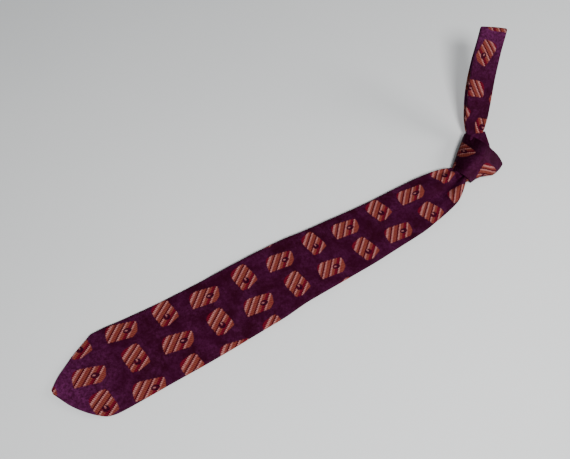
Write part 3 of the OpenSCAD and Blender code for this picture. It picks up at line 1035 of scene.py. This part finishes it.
def front_ring(t, shrink):
    """The last wrap, across the front: it leans out over the mouth and is steepest at its far side."""
    left = plan_line([(-27.5, 14.5), (-4, 32), (19.5, 48.3)], t)
    right = plan_line([(-18.5, -12), (-10, -11), (-1.5, -11.5), (7, -14.8), (13.5, -17.6), (19, -17),
                       (27, -14.8), (34, -11.5)], t)
    high = ramp(t, 0, 0.5, 16.5 * MM, KNOT_TOP) - ramp(t, 0.6, 1, 0, 3 * MM)
    low = WRAP_BASE
    shape = [(mix(a[0], b[0], t), mix(a[1], b[1], t)) for a, b in zip(MOUTH_RING, FAR_RING)]
    ring = knot_ring(left, right, low, high, shape, shrink)
    lean = 6.5 * MM * (1 - t) ** 2
    swell = 3 * MM * ramp(t, 0.6, 1, 0, 1)
    moved = []
    for p in ring:
        share = (p - left).dot(right - left) / (right - left).length_squared
        along = swell * bulge(share, 0.82, 0.16) - lean * max(0, (p.z - low) / (high - low))
        moved.append(p + Vector((along, 0, 0)))
    return moved


def turn_ring(t, shrink):
    """The turn that shows beside the last wrap, at the upper right."""
    left = plan_line([(2, 16), (10, 30), (20, 41)], t)
    right = plan_line([(24, 3), (31, 12), (42.5, 35.5)], t)
    return knot_ring(left, right, WRAP_BASE, ramp(t, 0, 0.45, 10 * MM, 16.5 * MM), FLAT_RING, shrink)


def first_ring(t, shrink):
    """The first wrap, hidden inside the knot."""
    left = plan_line([(-2, 27), (12, 37)], t)
    right = plan_line([(-3, -6), (16, -5)], t)
    return knot_ring(left, right, WRAP_BASE, 11.5 * MM, FLAT_RING, shrink)


def back_ring(t, shrink):
    """The wrap behind the knot, which lies on the table."""
    left = plan_line([(-22, 9), (-4, 26.5), (18, 43)], t)
    right = plan_line([(-16, -7), (9, -12), (28, -9), (33.5, 8), (40, 29)], t)
    return knot_ring(left, right, 0.4 * MM, BACK_TOP, FLAT_RING, shrink)


def shade_side(obj):
    """Marks the knot's side that faces away from the window for painted shade, as if in the shadow of its own
    ridge.
    """
    shade = obj.data.attributes.new("shade", "FLOAT", "POINT")
    for vertex, value in zip(obj.data.vertices, shade.data):
        across = (vertex.co.x - MOUTH_X) * 0.28 - vertex.co.y
        value.value = ramp(across, -12 * MM, 10 * MM, 0.85, 0.0)


def build_knot():
    shade_side(knot_band("knot_front_wrap", front_ring, 0.9 * MM, front_cloth))
    knot_band("knot_through_turn", turn_ring, 1.6 * MM, turned_cloth(-20, (3.9, -0.25)))
    knot_band("knot_first_wrap", first_ring, 0.7 * MM, turned_cloth(10, (0.4, 0.8)))
    knot_band("knot_back_wrap", back_ring, 1.0 * MM, turned_cloth(12, (1.4, 0.4)))


# ---- Building ------------------------------------------------------------------------------

build_front_blade()
build_blade_interlining()
lay_tipping("front_blade_tipping", blade_point, (4 * MM, POINT - 8 * MM, BLADE_SEAM + 6 * MM),
            (38 * MM, 7 * MM), "front_blade", 0.9 * MM)
stitch_row("front_blade_slip_stitch", blade_point, BLADE_SEAM + 5 * MM, HINGE_U - 10 * MM, 9 * MM,
           "front_blade", 0.2 * MM)
bar_tack("front_blade_bar_tack", blade_point, BLADE_SEAM - 2 * MM, 7 * MM, "front_blade", -0.1 * MM)
build_keeper()
build_tail()
build_tail_interlining()
lay_tipping("tail_tipping", tail_point, (9 * MM, TAIL_POINT + 3 * MM, TAIL_SEAM + 6 * MM),
            (18 * MM, 5 * MM), "tail", 0.85 * MM)
stitch_row("tail_slip_stitch", tail_point, TAIL_SEAM + 4 * MM, TAIL_LEN - 6 * MM, 8 * MM, "tail", 0.22 * MM)
bar_tack("tail_bar_tack", tail_point, TAIL_SEAM - 1.5 * MM, 6 * MM, "tail", -0.12 * MM)
build_neckband()
build_knot()


# ---- Floor, light and camera ---------------------------------------------------------------

def build_stage():
    n = Nodes("paper")
    place = n.make("ShaderNodeTexCoord").outputs["Object"]
    cloud = n.noise(place, 2.2, 3.0, 0.5)
    n.put(n.shader.inputs["Base Color"], n.colour(cloud, (0.70, 0.715, 0.72, 1), (0.77, 0.775, 0.77, 1)))
    n.constant(Roughness=0.85, Specular_IOR_Level=0.15)
    size = 3.0
    floor = add_mesh("floor", [(-size, -size, 0), (size, -size, 0), (size, size, 0), (-size, size, 0)],
                     [[0, 1, 2, 3]])
    floor.data.materials.append(n.material)


def area_light(name, place, target, size, power, tint):
    data = bpy.data.lights.new(name, "AREA")
    data.shape = "DISK"
    data.size = size
    data.energy = power
    data.color = tint
    obj = bpy.data.objects.new(name, data)
    bpy.context.scene.collection.objects.link(obj)
    obj.location = place
    obj.rotation_euler = (Vector(target) - Vector(place)).to_track_quat("-Z", "Y").to_euler()


TARGET = Vector((-0.252, 0.053, 0.0))
CAMERA = Vector((-0.430, -0.226, 0.583))
ROLL = math.radians(1.1)


def build_camera():
    data = bpy.data.cameras.new("camera")
    data.sensor_width = 36
    data.lens = 35.4
    obj = bpy.data.objects.new("camera", data)
    bpy.context.scene.collection.objects.link(obj)
    ahead = (TARGET - CAMERA).normalized()
    right = ahead.cross(UP).normalized()
    up = right.cross(ahead)
    tilted_right = math.cos(ROLL) * right + math.sin(ROLL) * up
    tilted_up = math.cos(ROLL) * up - math.sin(ROLL) * right
    turn = Matrix((tilted_right, tilted_up, -ahead)).transposed().to_4x4()
    obj.matrix_world = Matrix.Translation(CAMERA) @ turn
    bpy.context.scene.camera = obj


def build_light():
    world = bpy.data.worlds.new("studio")
    world.use_nodes = True
    back = world.node_tree.nodes["Background"]
    back.inputs[0].default_value = (0.93, 0.96, 1.0, 1)
    back.inputs[1].default_value = 0.30
    bpy.context.scene.world = world
    area_light("window", (-0.42, -0.67, 1.07), (-0.15, 0.0, 0.0), 0.36, 20.5, (1.0, 1.0, 1.0))
    area_light("side_window", (1.0, -0.50, 0.55), (0.0, 0.0, 0.0), 0.6, 12, (1.0, 0.99, 0.98))


build_stage()
build_light()
build_camera()
